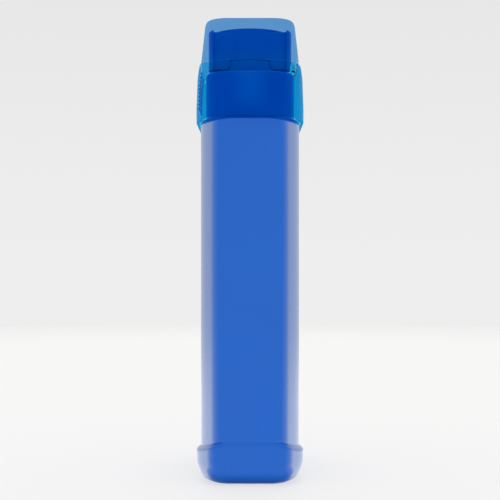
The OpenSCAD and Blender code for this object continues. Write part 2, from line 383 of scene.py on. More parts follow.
def blue_plastic(name, dark, light, rough, rim=True, collar=False, lid=False):
    """Opaque moulded plastic: faint mottling, fine draw lines down the wall, a soft orange peel, rubbed low edges that
    are rougher and, as painted shade, darker, and a gloss that gathers towards the turn of the surface. With rim,
    painted shade darkens the foot and the shoulder under the skirt; with lid, the lower part is lightened as painted
    light; with collar, the boss is lightened as painted light and the front and back carry a painted highlight.
    """
    mat, nt, p = nodes_of(name)
    broad = noise_of(nt, 26, 3)
    fine = noise_of(nt, 900, 2)
    lines = noise_of(nt, 320, 2, stretch=(1, 1, 0.02))
    shade = math_of(nt, "ADD", math_of(nt, "MULTIPLY", broad, 0.85), math_of(nt, "MULTIPLY", lines, 0.15))
    tc = nt.nodes.new("ShaderNodeTexCoord")
    sep = nt.nodes.new("ShaderNodeSeparateXYZ")
    nt.links.new(tc.outputs["Object"], sep.inputs["Vector"])
    low = spread(nt, sep.outputs["Z"], 1.0, 0.0, 0.0003, 0.0022)
    # rubbed low edge: rougher there, which is wear, and darker in colour, which is painted shade near the floor
    rub_and_shade = math_of(nt, "MULTIPLY", low, spread(nt, noise_of(nt, 1500, 3), 0.0, 1.0, 0.42, 0.62))
    col = mix_of(nt, spread(nt, shade, 0, 1), dark, light)
    col = mix_of(nt, math_of(nt, "MULTIPLY", rub_and_shade, 0.3), col, (0.0, 0.10, 0.50))
    if rim:
        # painted shade: the colour darkens towards the bottom of the foot, below 6.8 mm, and the specular level and the
        # coat are lowered near the floor too
        foot = spread(nt, sep.outputs["Z"], 0.0, 1.0, 0.0006, 0.0068)
        col = mix_of(nt, spread(nt, foot, 0.0, 1.0, -0.1, 1.0), (0.0, 0.042, 0.235), col)
        level = math_of(nt, "ADD", spread(nt, sep.outputs["Z"], 0.03, 0.37, 0.002, 0.0085), spread(nt, sep.outputs["Z"], 0.0, 0.07, 0.02, 0.12))
        geo = nt.nodes.new("ShaderNodeNewGeometry")
        up = nt.nodes.new("ShaderNodeSeparateXYZ")
        nt.links.new(geo.outputs["Normal"], up.inputs["Vector"])
        # painted shade: the upward-facing shoulder just under the skirt, above 203.6 mm, is darkened and its specular
        # level lowered
        under = math_of(nt, "MULTIPLY", spread(nt, up.outputs["Z"], 0.0, 1.0, 0.12, 0.45), spread(nt, sep.outputs["Z"], 0.0, 1.0, 0.2036, 0.2050))
        col = mix_of(nt, under, col, (0.0, 0.082, 0.56))
        level = math_of(nt, "MULTIPLY", level, spread(nt, under, 1.0, 0.25, 0.0, 1.0))
        nt.links.new(level, p.inputs["Specular IOR Level"])
    if lid:
        # painted light: the stopper's lower part, below 252 mm, is lightened where the lid's rim and the collar shade
        # it
        col = mix_of(nt, spread(nt, sep.outputs["Z"], 1.0, 0.0, 0.2405, 0.2520), col, (0.0, 0.262, 0.62))
    if collar:
        # painted light: the boss, from 235.8 to 244.2 mm, is lightened where the collar's top and the drum above shade
        # it
        neck = math_of(nt, "MULTIPLY", spread(nt, sep.outputs["Z"], 0.0, 1.0, 0.2348, 0.2358), spread(nt, sep.outputs["Z"], 1.0, 0.0, 0.2442, 0.2448))
        col = mix_of(nt, neck, col, (0.0, 0.250, 0.63))
        # painted highlight: a soft lighter patch down the middle of the collar's front and back faces
        mid = math_of(nt, "MULTIPLY", spread(nt, math_of(nt, "ABSOLUTE", sep.outputs["X"]), 0.9, 0.0, 0.002, 0.0115), spread(nt, math_of(nt, "ABSOLUTE", sep.outputs["Y"]), 0.0, 1.0, 0.038, 0.0425))
        mid = math_of(nt, "MULTIPLY", mid, math_of(nt, "MULTIPLY", spread(nt, sep.outputs["Z"], 0.0, 1.0, 0.2125, 0.2215), spread(nt, sep.outputs["Z"], 1.0, 0.0, 0.2335, 0.2372)))
        col = mix_of(nt, mid, col, (0.002, 0.262, 0.71))
    nt.links.new(col, p.inputs["Base Color"])
    r = spread(nt, shade, rough[0], rough[1])
    r = math_of(nt, "ADD", r, math_of(nt, "MULTIPLY", rub_and_shade, 0.25))
    nt.links.new(r, p.inputs["Roughness"])
    n1 = bump_of(nt, noise_of(nt, 340, 1.5), 0.00003, 0.06)
    n2 = bump_of(nt, lines, 0.00001, 0.012, n1)
    n3 = bump_of(nt, fine, 0.00001, 0.08, n2)
    nt.links.new(n3, p.inputs["Normal"])
    p.inputs["IOR"].default_value = 1.5
    if rim:
        lw = nt.nodes.new("ShaderNodeLayerWeight")
        lw.inputs["Blend"].default_value = 0.5
        ramp = nt.nodes.new("ShaderNodeValToRGB")
        cr = ramp.color_ramp
        cr.interpolation = "LINEAR"
        stops = [(0.085, 0.0), (0.121, 0.07), (0.157, 0.19), (0.181, 0.31), (0.212, 0.56), (0.24, 0.86), (0.262, 1.0)]
        while len(cr.elements) < len(stops):
            cr.elements.new(0.5)
        for el, (pos, v) in zip(cr.elements, stops):
            el.position = pos
            el.color = (v, v, v, 1)
        flat = math_of(nt, "SQRT", math_of(nt, "ADD", math_of(nt, "MULTIPLY", up.outputs["X"], up.outputs["X"]), math_of(nt, "MULTIPLY", up.outputs["Y"], up.outputs["Y"])))
        plan = math_of(nt, "SUBTRACT", 1.0, math_of(nt, "DIVIDE", math_of(nt, "ABSOLUTE", up.outputs["Y"]), math_of(nt, "ADD", flat, 0.0001)))
        tilt = math_of(nt, "MULTIPLY", spread(nt, math_of(nt, "ABSOLUTE", up.outputs["Z"]), 0.0, 1.0, 0.04, 0.26), spread(nt, sep.outputs["Z"], 1.0, 0.0, 0.009, 0.014))
        face = math_of(nt, "ADD", math_of(nt, "MULTIPLY", lw.outputs["Facing"], math_of(nt, "SUBTRACT", 1.0, tilt)),
                       math_of(nt, "MULTIPLY", math_of(nt, "MINIMUM", lw.outputs["Facing"], plan), tilt))
        face = math_of(nt, "SUBTRACT", face, math_of(nt, "MULTIPLY", tilt, 0.045))
        nt.links.new(face, ramp.inputs["Fac"])
        lean = spread(nt, math_of(nt, "ABSOLUTE", up.outputs["Z"]), 1.0, 0.0, 0.12, 0.42)
        turned = spread(nt, math_of(nt, "ABSOLUTE", up.outputs["X"]), 0.0, 1.0, 0.42, 0.62)
        turned = math_of(nt, "MULTIPLY", turned, spread(nt, sep.outputs["Z"], 1.0, 0.0, 0.2030, 0.2052))
        keep = math_of(nt, "MAXIMUM", math_of(nt, "MAXIMUM", lean, turned), tilt)
        keep = math_of(nt, "MULTIPLY", keep, spread(nt, sep.outputs["Z"], 0.0, 1.0, 0.0012, 0.0046))
        # the flat faces keep their blue until they are seen almost edge on
        flat = spread(nt, math_of(nt, "MAXIMUM", math_of(nt, "ABSOLUTE", up.outputs["X"]), math_of(nt, "ABSOLUTE", up.outputs["Y"])), 0.0, 1.0, 0.955, 0.995)
        early = spread(nt, lw.outputs["Facing"], 0.94, 0.0, 0.40, 0.72)
        keep = math_of(nt, "MULTIPLY", keep, math_of(nt, "SUBTRACT", 1.0, math_of(nt, "MULTIPLY", flat, early)))
        nt.links.new(math_of(nt, "MULTIPLY", ramp.outputs["Color"], keep), p.inputs["Coat Weight"])
        p.inputs["Coat Tint"].default_value = (0.96, 0.96, 0.80, 1)
        p.inputs["Coat IOR"].default_value = 3.0
        p.inputs["Coat Roughness"].default_value = 0.16
    else:
        lw = nt.nodes.new("ShaderNodeLayerWeight")
        lw.inputs["Blend"].default_value = 0.5
        geo = nt.nodes.new("ShaderNodeNewGeometry")
        up = nt.nodes.new("ShaderNodeSeparateXYZ")
        nt.links.new(geo.outputs["Normal"], up.inputs["Vector"])
        lean = spread(nt, math_of(nt, "ABSOLUTE", up.outputs["Z"]), 1.0, 0.0, 0.10, 0.40)
        edge = spread(nt, lw.outputs["Facing"], 0.0, 1.0, 0.22, 0.85)
        nt.links.new(math_of(nt, "MULTIPLY", edge, lean), p.inputs["Coat Weight"])
        p.inputs["Coat IOR"].default_value = 1.9
        p.inputs["Coat Roughness"].default_value = 0.2
        p.inputs["Specular IOR Level"].default_value = 0.08
    return mat


def clear_plastic(name, tint_a, tint_b, gloss=GLOSS):
    """See-through moulded plastic: polished, with a slow waviness and a slightly uneven tint. It doesn't bend what is behind it, and it shines only at a low angle."""
    mat, nt, p = nodes_of(name)
    broad = noise_of(nt, 40, 2)
    nt.links.new(mix_of(nt, spread(nt, broad, 0, 1), tint_a, tint_b), p.inputs["Base Color"])
    p.inputs["Roughness"].default_value = 0.0
    p.inputs["Transmission Weight"].default_value = 1.0
    p.inputs["IOR"].default_value = 1.0
    lw = nt.nodes.new("ShaderNodeLayerWeight")
    lw.inputs["Blend"].default_value = 0.5
    haze = spread(nt, noise_of(nt, 240, 3), 0.85, 1.0)
    edge = spread(nt, lw.outputs["Facing"], 0.0, gloss, 0.35, 0.95)
    geo = nt.nodes.new("ShaderNodeNewGeometry")
    up = nt.nodes.new("ShaderNodeSeparateXYZ")
    nt.links.new(geo.outputs["Normal"], up.inputs["Vector"])
    shade = spread(nt, up.outputs["Z"], 0.08, 1.0, -0.45, -0.1)
    nt.links.new(math_of(nt, "MULTIPLY", math_of(nt, "MULTIPLY", edge, haze), shade), p.inputs["Coat Weight"])
    p.inputs["Coat IOR"].default_value = 1.45
    p.inputs["Coat Roughness"].default_value = 0.06
    n1 = bump_of(nt, noise_of(nt, 90, 1), 0.00006, 0.06)
    nt.links.new(n1, p.inputs["Normal"])
    return mat


def silicone(name):
    mat, nt, p = nodes_of(name)
    nt.links.new(mix_of(nt, spread(nt, noise_of(nt, 300, 3), 0, 1), (0.70, 0.74, 0.77), (0.80, 0.83, 0.85)), p.inputs["Base Color"])
    nt.links.new(spread(nt, noise_of(nt, 1200, 2), 0.42, 0.6), p.inputs["Roughness"])
    nt.links.new(bump_of(nt, noise_of(nt, 1600, 2), 0.00002, 0.2), p.inputs["Normal"])
    p.inputs["IOR"].default_value = 1.41
    p.inputs["Subsurface Weight"].default_value = 0.25
    p.inputs["Subsurface Radius"].default_value = (1.0, 0.95, 0.9)
    p.inputs["Subsurface Scale"].default_value = 0.001
    return mat


def steel(name):
    mat, nt, p = nodes_of(name)
    drawn = noise_of(nt, 2500, 3, stretch=(1, 0.04, 1))
    nt.links.new(mix_of(nt, spread(nt, noise_of(nt, 700, 2), 0, 1), (0.82, 0.83, 0.84), (0.92, 0.93, 0.94)), p.inputs["Base Color"])
    nt.links.new(spread(nt, drawn, 0.42, 0.60), p.inputs["Roughness"])
    nt.links.new(bump_of(nt, drawn, 0.00001, 0.15), p.inputs["Normal"])
    p.inputs["Metallic"].default_value = 1.0
    # painted light: a faint glow that stands in for the light reaching the pins through the plastic around them
    p.inputs["Emission Color"].default_value = (0.72, 0.90, 1.0, 1)
    p.inputs["Emission Strength"].default_value = 0.28
    return mat


M_BODY = blue_plastic("blue_body", (0.0, 0.131, 0.662), (0.0, 0.141, 0.696), (0.26, 0.33))
M_CAP = blue_plastic("blue_cap", (0.0, 0.175, 0.610), (0.0, 0.188, 0.650), (0.22, 0.28), rim=False)
# the collar's and the stopper's copies of the cap plastic carry painted light: a lightened boss and a painted highlight
# on the collar, a lightened lower part on the stopper
M_COLLAR = blue_plastic("blue_collar_plastic", (0.0, 0.175, 0.610), (0.0, 0.188, 0.650), (0.22, 0.28), rim=False, collar=True)
M_STOPPER = blue_plastic("blue_stopper_plastic", (0.0, 0.175, 0.610), (0.0, 0.188, 0.650), (0.22, 0.28), rim=False, lid=True)
M_CLEAR = clear_plastic("clear_blue_skirt", (0.0055, 0.305, 0.70), (0.0075, 0.325, 0.73))
M_LID = clear_plastic("clear_blue_lid", (0.124, 0.355, 0.715), (0.140, 0.375, 0.735))
M_RIB = clear_plastic("clear_blue_rib", (0.0006, 0.085, 0.36), (0.0012, 0.10, 0.40))
M_RIB2 = clear_plastic("clear_blue_rib_face", (0.003, 0.21, 0.58), (0.0045, 0.23, 0.62))
M_INNER = clear_plastic("clear_inner_face", (0.965, 0.99, 1.0), (0.975, 0.995, 1.0), 0.12)
M_SOFT = silicone("silicone")
M_STEEL = steel("pin_steel")
SLOT_MATS = {"blue_body": M_BODY, "blue_cap": M_CAP, "clear_blue": M_CLEAR, "silicone": M_SOFT, "pin_steel": M_STEEL}


def dress(ob, mat):
    ob.data.materials.clear()
    ob.data.materials.append(mat)


def dress_shell(ob, mat):
    """Tint on the faces that look outward, none on those that look inward, up or down inside the wall, and a deeper tint on the ribs."""
    ob.data.materials.clear()
    for m in (mat, M_INNER, M_RIB, M_RIB2):
        ob.data.materials.append(m)
    for poly in ob.data.polygons:
        c, n = poly.center, poly.normal
        if abs(c.y) < 0.0151 and 0.2164 < c.z < 0.2396 and -0.033 < c.x < -(30.95 - skirt_at(c.z / MM) - 0.6 + 0.12) * MM and ob.name == "clear_button":
            poly.material_index = 2 if abs(c.y) > 0.0129 else 3
            continue
        if abs(n.y) > 0.5 and 0.009 < abs(c.y) < 0.0232 and c.x > 0.0238 and 0.2354 < c.z < 0.2450:
            poly.material_index = 1
            continue
        if n.z < -0.35 and c.z < 0.2095:
            poly.material_index = 0
            continue
        if abs(c.y) < 0.0230 and c.x > 0.0235 and c.z > 0.2354 and math.hypot(c.x - HX * MM, c.z - HZ * MM) < (HEEL + 0.03) * MM:
            poly.material_index = 1
            continue
        out = n.x * c.x / 0.031 ** 2 + n.y * c.y / 0.049 ** 2
        size = math.hypot(c.x / 0.031 ** 2, c.y / 0.049 ** 2) + 1e-9
        lean = out / size
        roof = n.z > 0.35 and c.z > 0.2605
        poly.material_index = 0 if (lean > 0.25 or roof) else 1


def place(ob, body, slot, node, mat=None):
    finish_mesh(ob)
    if slot == "clear_blue":
        dress_shell(ob, mat or M_CLEAR)
    else:
        dress(ob, mat or SLOT_MATS[slot])
    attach(ob, body)
    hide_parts(node)
    return ob


# ---------------------------------------------------------------- bottle
def bottle():
    body = family(28.5, 46.9, 17)
    inner = family(26.9, 45.3, 15.4)
    ang = facing()
    across = np.abs(np.sin(ang))  # 1 on the narrow faces, 0 on the wide ones
    along = np.abs(np.cos(ang))

    def foot(qx, qy):
        return outline(30.95 - qx, 47.2 - qy, max(16.6 - qy, 0.6))

    # top of the foot: highest on the narrow faces, dipping in the middle of the wide ones
    f0, b0 = foot(0, 0), body(0)
    dip = np.interp(np.abs(f0[:, 1]), [0, 10, 15, 19, 22, 25, 28, 30.5, 60], [14.3, 14.3, 14.1, 14.8, 15.9, 17.4, 19.2, 20.3, 20.3])
    crease = np.where(across < 0.02, dip, 20.3 + 4.2 * across ** 2.6)
    hollow = 0.5 * smooth((along - 0.03) / 0.25) * (1 - smooth((along - 0.5) / 0.2)) * (across > 0.02)

    rings = []
    base = rounded([(19, 1.6, 0), (14.0, 1.6, 1.0), (12.8, 0.0, 0.6), (9.7, 0.0, 0)], seg=5)
    for q, z in base:
        rings.append(lift(foot(q, q - 1.2), z))
    # under-edge: long curve in from the wide sides, tighter one from the narrow faces
    wide = through([(9.6, 0.0), (8.9, 0.05), (7.6, 0.62), (5.7, 1.5), (4.1, 2.5), (2.9, 3.75), (1.98, 5.34), (0.9, 8.1), (0.2, 10.6), (0, 12.5)], 8)
    tight = through([(8.4, 0.0), (7.0, 0.03), (5.4, 0.3), (4.0, 0.85), (2.75, 1.7), (1.7, 2.8), (0.85, 4.1), (0.3, 5.6), (0.03, 7.2), (0, 8.2), (0, 12.5)], 8)
    depth = np.array([-1.0, -0.35, 0.0, 0.35, 0.75, 1.2, 1.6, 2.1, 2.6, 3.2])
    share = np.array([0.0, 0.0, 0.06, 0.27, 0.48, 0.68, 0.81, 0.93, 0.985, 1.0])
    heights = [0.02, 0.06, 0.12, 0.2, 0.3, 0.42, 0.56, 0.72, 0.9, 1.1, 1.35, 1.65, 2.0, 2.4, 2.9, 3.5, 4.2, 5.0, 6.0, 7.2, 8.6, 9.4]
    for z in heights + list(np.arange(10.0, 26.6, 0.3)) + [27.4]:
        f = foot(float(np.interp(z, wide[:, 1], wide[:, 0])), float(np.interp(z, tight[:, 1], tight[:, 0])))
        w = np.interp(crease - z, depth, share)
        p = b0 + w[:, None] * (f - b0)
        dent = hollow * np.exp(-((z - crease - 0.25) / 0.55) ** 2)
        n = np.column_stack([np.cos(ang), np.sin(ang)])
        rings.append(lift(p - n * dent[:, None], z))
    for z in (34, 60, 90, 120, 150, 180, 200, 204.4):
        rings.append(lift(b0, z))
    low = through([(0, 205.0), (0.08, 205.7), (0.45, 206.7), (1.2, 207.6), (2.2, 208.05), (3.3, 208.4), (5.5, 209.7), (8.2, 211.4), (10.2, 212.5)], 4)
    high = through([(0, 207.0), (0.03, 207.45), (0.2, 207.82), (0.65, 208.06), (1.7, 208.16), (3.3, 208.4), (5.5, 209.7), (8.2, 211.4), (10.2, 212.5)], 4)
    arch = np.interp(np.abs(b0[:, 0]), [0, 9, 13, 17, 20, 22.5, 40], [1, 1, 0.86, 0.5, 0.2, 0, 0])
    for (ql, zl), (qh, zh) in zip(low, high):
        rings.append(lift(body(ql) + arch[:, None] * (body(qh) - body(ql)), zl + arch * (zh - zl)))
    edge = body(10.2)
    ring = circle_like(edge, 17.9)
    for t in (0.2, 0.4, 0.6, 0.8, 0.92):
        u = smooth(t)
        rings.append(lift(edge + (ring - edge) * t, 212.5 + 0.5 * min(1.0, 2.2 * t)))
    neck = rounded([(17.9, 213.0, 0), (16.5, 213.0, 0.8), (16.5, 228.0, 0.55), (14.5, 228.0, 0.45), (14.5, 211.4, 1.2), (16.2, 211.2, 0)], seg=5)
    for r, z in neck:
        rings.append(lift(circle_like(edge, r), z))
    far = inner(9.4)
    for t in (0.35, 0.7):
        rings.append(lift(circle_like(far, 16.2) + (far - circle_like(far, 16.2)) * t, 211.1))
    inside = through([(9.4, 211.0), (6, 208.9), (3, 206.9), (1.2, 206.0), (0.3, 204.9), (0, 203.6), (0, 150), (0, 80), (0, 22), (0.2, 12), (0.9, 9), (2.2, 6.4), (4.2, 4.5), (6.5, 3.7), (12, 3.4)], 3)
    for q, z in inside:
        rings.append(lift(inner(q), z))
    v, f = loft(rings, caps=(True, True))
    return make("bottle_body", v, f)


# ---------------------------------------------------------------- skirt
SKIRT = family(30.95, 49.35, 18.5, 24, 8, 12)
SKIRT_OUT = [(0, 206), (0, 215.5), (0.2, 220), (0.4, 226), (0.65, 231.8), (1.05, 235.3), (1.4, 237.7), (1.65, 238.8), (1.95, 240.1)]
_sk = through([(0, 204.0)] + SKIRT_OUT + [(2.25, 241.4)], 8)


def skirt_at(z):
    return float(np.interp(z, _sk[:, 1], _sk[:, 0]))


def ear_profile(grow=0.0, low=235.9, n=16):
    r = HEEL + grow
    pts = [(HX - r, low)]
    for i in range(n + 1):
        a = PI - PI * i / n
        pts.append((HX + r * math.cos(a), HZ + r * math.sin(a)))
    pts += [(HX + r, HZ - 1.2), (HX + 1.0, HZ - 2.6), (HX + 1.0, low)]
    return pts


def skirt():
    outer0 = SKIRT(0)
    t = (np.abs(outer0[:, 0]) - 25.0) / 4.8
    bottom = 208.3 - 2.3 * smooth(t)
    rings = []

    def add(xy, z, zone=None):
        z = np.broadcast_to(float(z), len(xy)).copy()
        if zone is not None:
            z = bottom + (z - 206.0) * (217.0 - bottom) / 11.0
        back = xy[:, 0] > HX + 0.2
        cut = 239.8 - 0.35 * (xy[:, 0] - HX - 0.2)
        z = np.where(back & (z > 237.4), np.minimum(z, cut), z)
        rings.append(lift(xy, z))

    # outer wall, from the rounded lower edge to the rim
    for k in range(6):
        a = PI / 2 * k / 5
        add(SKIRT(0.55 * (1 - math.sin(a))), 206.0 + 0.55 * (1 - math.cos(a)), zone=1)
    for z in (207.0, 208.2, 210, 212.5, 215, 216.9):
        add(SKIRT(skirt_at(z)), z, zone=1)
    for z in list(np.arange(218, 236.1, 1.5)) + [237.0, 237.8, 238.5, 239.1, 239.5]:
        add(SKIRT(skirt_at(z)), z)
    q_rim = skirt_at(240.1)
    for k in range(1, 5):
        a = PI / 2 * k / 4
        add(SKIRT(skirt_at(239.7) + 0.4 * (1 - math.cos(a))), 239.7 + 0.4 * math.sin(a))
    q_in = q_rim + 1.6
    for k in range(0, 5):
        a = PI / 2 * k / 4
        add(SKIRT(q_in - 0.35 * (1 - math.sin(a))), 240.1 - 0.35 * (1 - math.cos(a)))
    for z in (239.3, 238.7, 238.0, 237.6):
        add(SKIRT(skirt_at(z) + 1.6), z)
    # deck: top, edge of the round hole, underside
    q = skirt_at(236.8) + 1.6
    ref = SKIRT(q)
    hole = circle_like(ref, BOSS_R + 0.3)
    away = ref / np.linalg.norm(ref, axis=1)[:, None]
    for k in range(1, 4):
        a = PI / 2 * k / 3
        add(SKIRT(q + 0.35 * (1 - math.cos(a))), 237.15 - 0.35 * math.sin(a))
    start = SKIRT(q + 0.7)
    end = hole + away * 0.7
    for s in (0.0, 0.25, 0.5, 0.75, 1.0):
        add(start + (end - start) * s, 236.8)
    for k in range(0, 5):
        a = PI / 2 * k / 4
        add(hole + away * 0.4 * (1 - math.sin(a)), 236.8 - 0.4 * (1 - math.cos(a)))
    for k in range(0, 5):
        a = PI / 2 * k / 4
        add(hole + away * 0.4 * (1 - math.cos(a)), 235.7 - 0.4 * math.sin(a))
    qb = skirt_at(235.2) + 1.6
    startb = SKIRT(qb + 0.7)
    for s in (1.0, 0.75, 0.5, 0.25, 0.0):
        add(startb + (end - startb) * s, 235.3)
    for k in range(0, 4):
        a = PI / 2 * k / 3
        add(SKIRT(qb + 0.35 * (1 - math.sin(a))), 235.3 - 0.35 * (1 - math.cos(a)))
    for z in (234.4, 233.0, 230.0, 227.0, 224.0, 221.0, 218.5):
        add(SKIRT(skirt_at(z) + 1.6), z)
    for z in (216.5, 214, 211, 208.5, 207.2):
        add(SKIRT(skirt_at(z) + 1.6), z, zone=1)
    for k in range(0, 6):
        a = PI / 2 * k / 5
        add(SKIRT(1.6 - 0.55 * (1 - math.cos(a))), 206.55 - 0.55 * math.sin(a), zone=1)
    v, f = loft(rings, loop=True)
    ob = make("clear_skirt", v, f)
    steps = []
    for y in (-22.5, -12.0, 9.5, 20.0):
        steps.append(("UNION", prism_y("ear", ear_profile(), y, y + 2.5, 0.3)))
    window = rounded_window(-40, -26.5, 15.25, 216.15, 262.0, 1.3)
    gap = rounded_box("gap", (-40, -15.25, 234.2), (-15, 15.25, 239.2), 0.05, 0.8)
    hole_y = revolve("hole", [(0, 23.2), (PIN + 0.01, 23.2), (PIN + 0.01, -23.2), (0, -23.2)], 48, False, (HX, HZ), "y")
    steps += [("DIFFERENCE", window), ("DIFFERENCE", gap), ("DIFFERENCE", hole_y)]
    return combine(ob, steps)


def rounded_window(x0, x1, hy, z0, z1, r):
    """Cutter along X with rounded lower corners."""
    pts = []
    for c, a0 in (((hy - r, z0 + r), -PI / 2), ((-(hy - r), z0 + r), -PI)):
        for i in range(9):
            a = a0 + PI / 2 * i / 8
            pts.append((c[0] + r * math.cos(a), c[1] + r * math.sin(a)))
    right, left = pts[:9], pts[9:]
    poly = left + right + [(hy, z1), (-hy, z1)]
    verts = [(x0, y, z) for y, z in poly] + [(x1, y, z) for y, z in poly]
    n = len(poly)
    faces = [tuple(range(n)), tuple(range(2 * n - 1, n - 1, -1))]
    faces += [(i, (i + 1) % n, n + (i + 1) % n, n + i) for i in range(n)]
    return make("window", verts, faces)


# ---------------------------------------------------------------- lid
def lid():
    fam = family(28.35, 46.6, 15.5, 24, 8, 12)
    up = through([(2.15, 259.8), (2.3, 261.2), (2.58, 262.6), (3.05, 263.75), (3.75, 264.6), (4.7, 264.95), (6.2, 265.0)], 5)
    outer = [(0.4 * (1 - math.sin(a)), 240.4 + 0.4 * (1 - math.cos(a))) for a in np.linspace(0, PI / 2, 5)]
    outer += [(0.05 + 2.1 * (z - 240.8) / 19.0, z) for z in (241.1, 243.5, 247, 251, 255, 258.6)]
    outer += [tuple(p) for p in up] + [(9.0, 265.0), (13.5, 265.0)]
    inner = [(1.6 + 2.1 * (z - 240.8) / 19.0, z) for z in (258.3, 255, 251, 247, 243.5, 241.1)]
    inner += [(1.6 - 0.4 * (1 - math.cos(a)), 240.8 - 0.4 * math.sin(a)) for a in np.linspace(0, PI / 2, 5)]
    roof = rounded([(13.5, 263.1, 0), (4.1, 263.1, 2.4), (3.62, 258.6, 0)], seg=8)
    rings = [lift(fam(q), z) for q, z in outer[::-1]]
    rings = rings[::-1]
    path = list(outer)
    rings = []
    for q, z in [tuple(p) for p in roof] + inner + path:
        rings.append(lift(fam(q), z))
    v, f = loft(rings, caps=(True, True))
    ob = make("clear_lid", v, f)
    steps = []
    for y in (-19.8, 12.2):
        steps.append(("UNION", revolve("knuckle", [tuple(p) for p in rounded([(0, -y, 0), (HEEL, -y, 0.25), (HEEL, -y - 7.6, 0.25), (0, -y - 7.6, 0)], 3)], 48, False, (HX, HZ), "y")))
    # the lower edge at the back is round about the hinge axis
    pts = [(HX, HZ)]
    n = 14
    quarter = [(HX + HEEL * math.cos(a), HZ + HEEL * math.sin(a)) for a in np.linspace(-PI / 2, 0, n)]
    pts = [(HX, HZ - 5)] + quarter + [(HX + 6, HZ), (HX + 6, HZ - 5)]
    steps.append(("DIFFERENCE", prism_y("heel", pts, -60, 60)))
    for y in (-22.7, -12.2, 9.3, 19.8):
        steps.append(("DIFFERENCE", rounded_box("room", (HX - 4, y, 236), (HX + 6, y + 2.9, HZ + 3.55), 0.02, 0.02)))
    steps.append(("DIFFERENCE", revolve("bore", [(0, 25), (0.95, 25), (0.95, -25), (0, -25)], 48, False, (HX, HZ), "y")))
    return combine(ob, steps)


# ---------------------------------------------------------------- stopper
def stopper():
    z0, zt = Z_BOSS + 0.25, 263.1
    path = rounded([
        (0, 239.5, 0), (13.6, 239.5, 0.6), (14.2, 245.2, 0.0), (14.9, 245.2, 0.1), (14.9, 245.8, 0.1), (16.8, 245.8, 0.1), (16.8, 245.2, 0.1), (21.6, 245.2, 0.2), (22.0, z0, 0.2),
        (DRUM_R, z0, 0.4), (DRUM_R, zt, 0.15), (21.8, zt, 0.3), (21.8, 247.0, 0.8), (11.9, 247.0, 0.4), (11.9, 241.3, 0.8), (0, 241.3, 0)], seg=5)
    ob = revolve("blue_stopper", path, 160, False)
    steps = []
    plates = rounded_box("plates", (-24.5, -23.4, z0 - 12), (24.5, 23.4, zt), 3.0, 5.6, 8)
    plates = combine(plates, [
        ("DIFFERENCE", rounded_box("between", (-21.4, -30, z0 - 15), (21.4, 30, zt + 5), 0.1, 0.1)),
        ("DIFFERENCE", rounded_box("under", (-30, -30, z0 - 15), (30, 30, 239.0), 0.1, 0.1)),
        ("DIFFERENCE", revolve("boss_room", [(0, z0 - 15), (25.2, z0 - 15), (25.2, 240.6), (BOSS_R + 0.45, 241.2), (BOSS_R + 0.45, z0), (0, z0)], 160, False)),
        ("DIFFERENCE", rounded_box("middle", (-30, -14.5, z0 - 15), (30, 14.5, 241.0), 0.1, 0.1)),
        ("DIFFERENCE", rounded_box("hinge_room", (23.6, -30, z0 - 15), (30, 30, z0), 0.1, 0.1))])
    steps.append(("UNION", plates))
    web = rounded_box("web", (-22.6, -21.6, 239.0), (22.6, 21.6, zt - 1.6), 0.9, 1.6)
    web = combine(web, [
        ("DIFFERENCE", revolve("boss_room", [(0, z0 - 15), (25.2, z0 - 15), (25.2, 240.6), (BOSS_R + 0.45, 241.2), (BOSS_R + 0.45, z0), (21.2, z0), (21.2, 246.0), (0, 246.0)], 160, False)),
        ("DIFFERENCE", rounded_box("middle", (-30, -14.5, z0 - 15), (30, 14.5, 241.0), 0.1, 0.1))])
    steps.append(("UNION", web))
    for s in (-1,):
        steps.append(("UNION", rounded_box("stem", (-24, -4.5, Z_PLATE - 1.5), (-22, 4.5, Z_BOSS + 3), 0.2, 0.3)))
    barb = [(-22.3, Z_PLATE - 1.5), (-21.6, Z_PLATE - 1.5), (-20.3, Z_PLATE - 0.4), (-20.3, Z_PLATE + 0.15), (-22.3, Z_PLATE + 0.15)]
    steps.append(("UNION", prism_y("barb", barb, -4.5, 4.5, 0.1)))
    cavity = revolve("cavity", [(0, 241.3), (11.9, 241.3), (11.9, 247.0), (21.8, 247.0), (21.8, 262.0), (21.8, 270), (0, 270)], 160, False)
    steps.append(("DIFFERENCE", cavity))
    return combine(ob, steps)


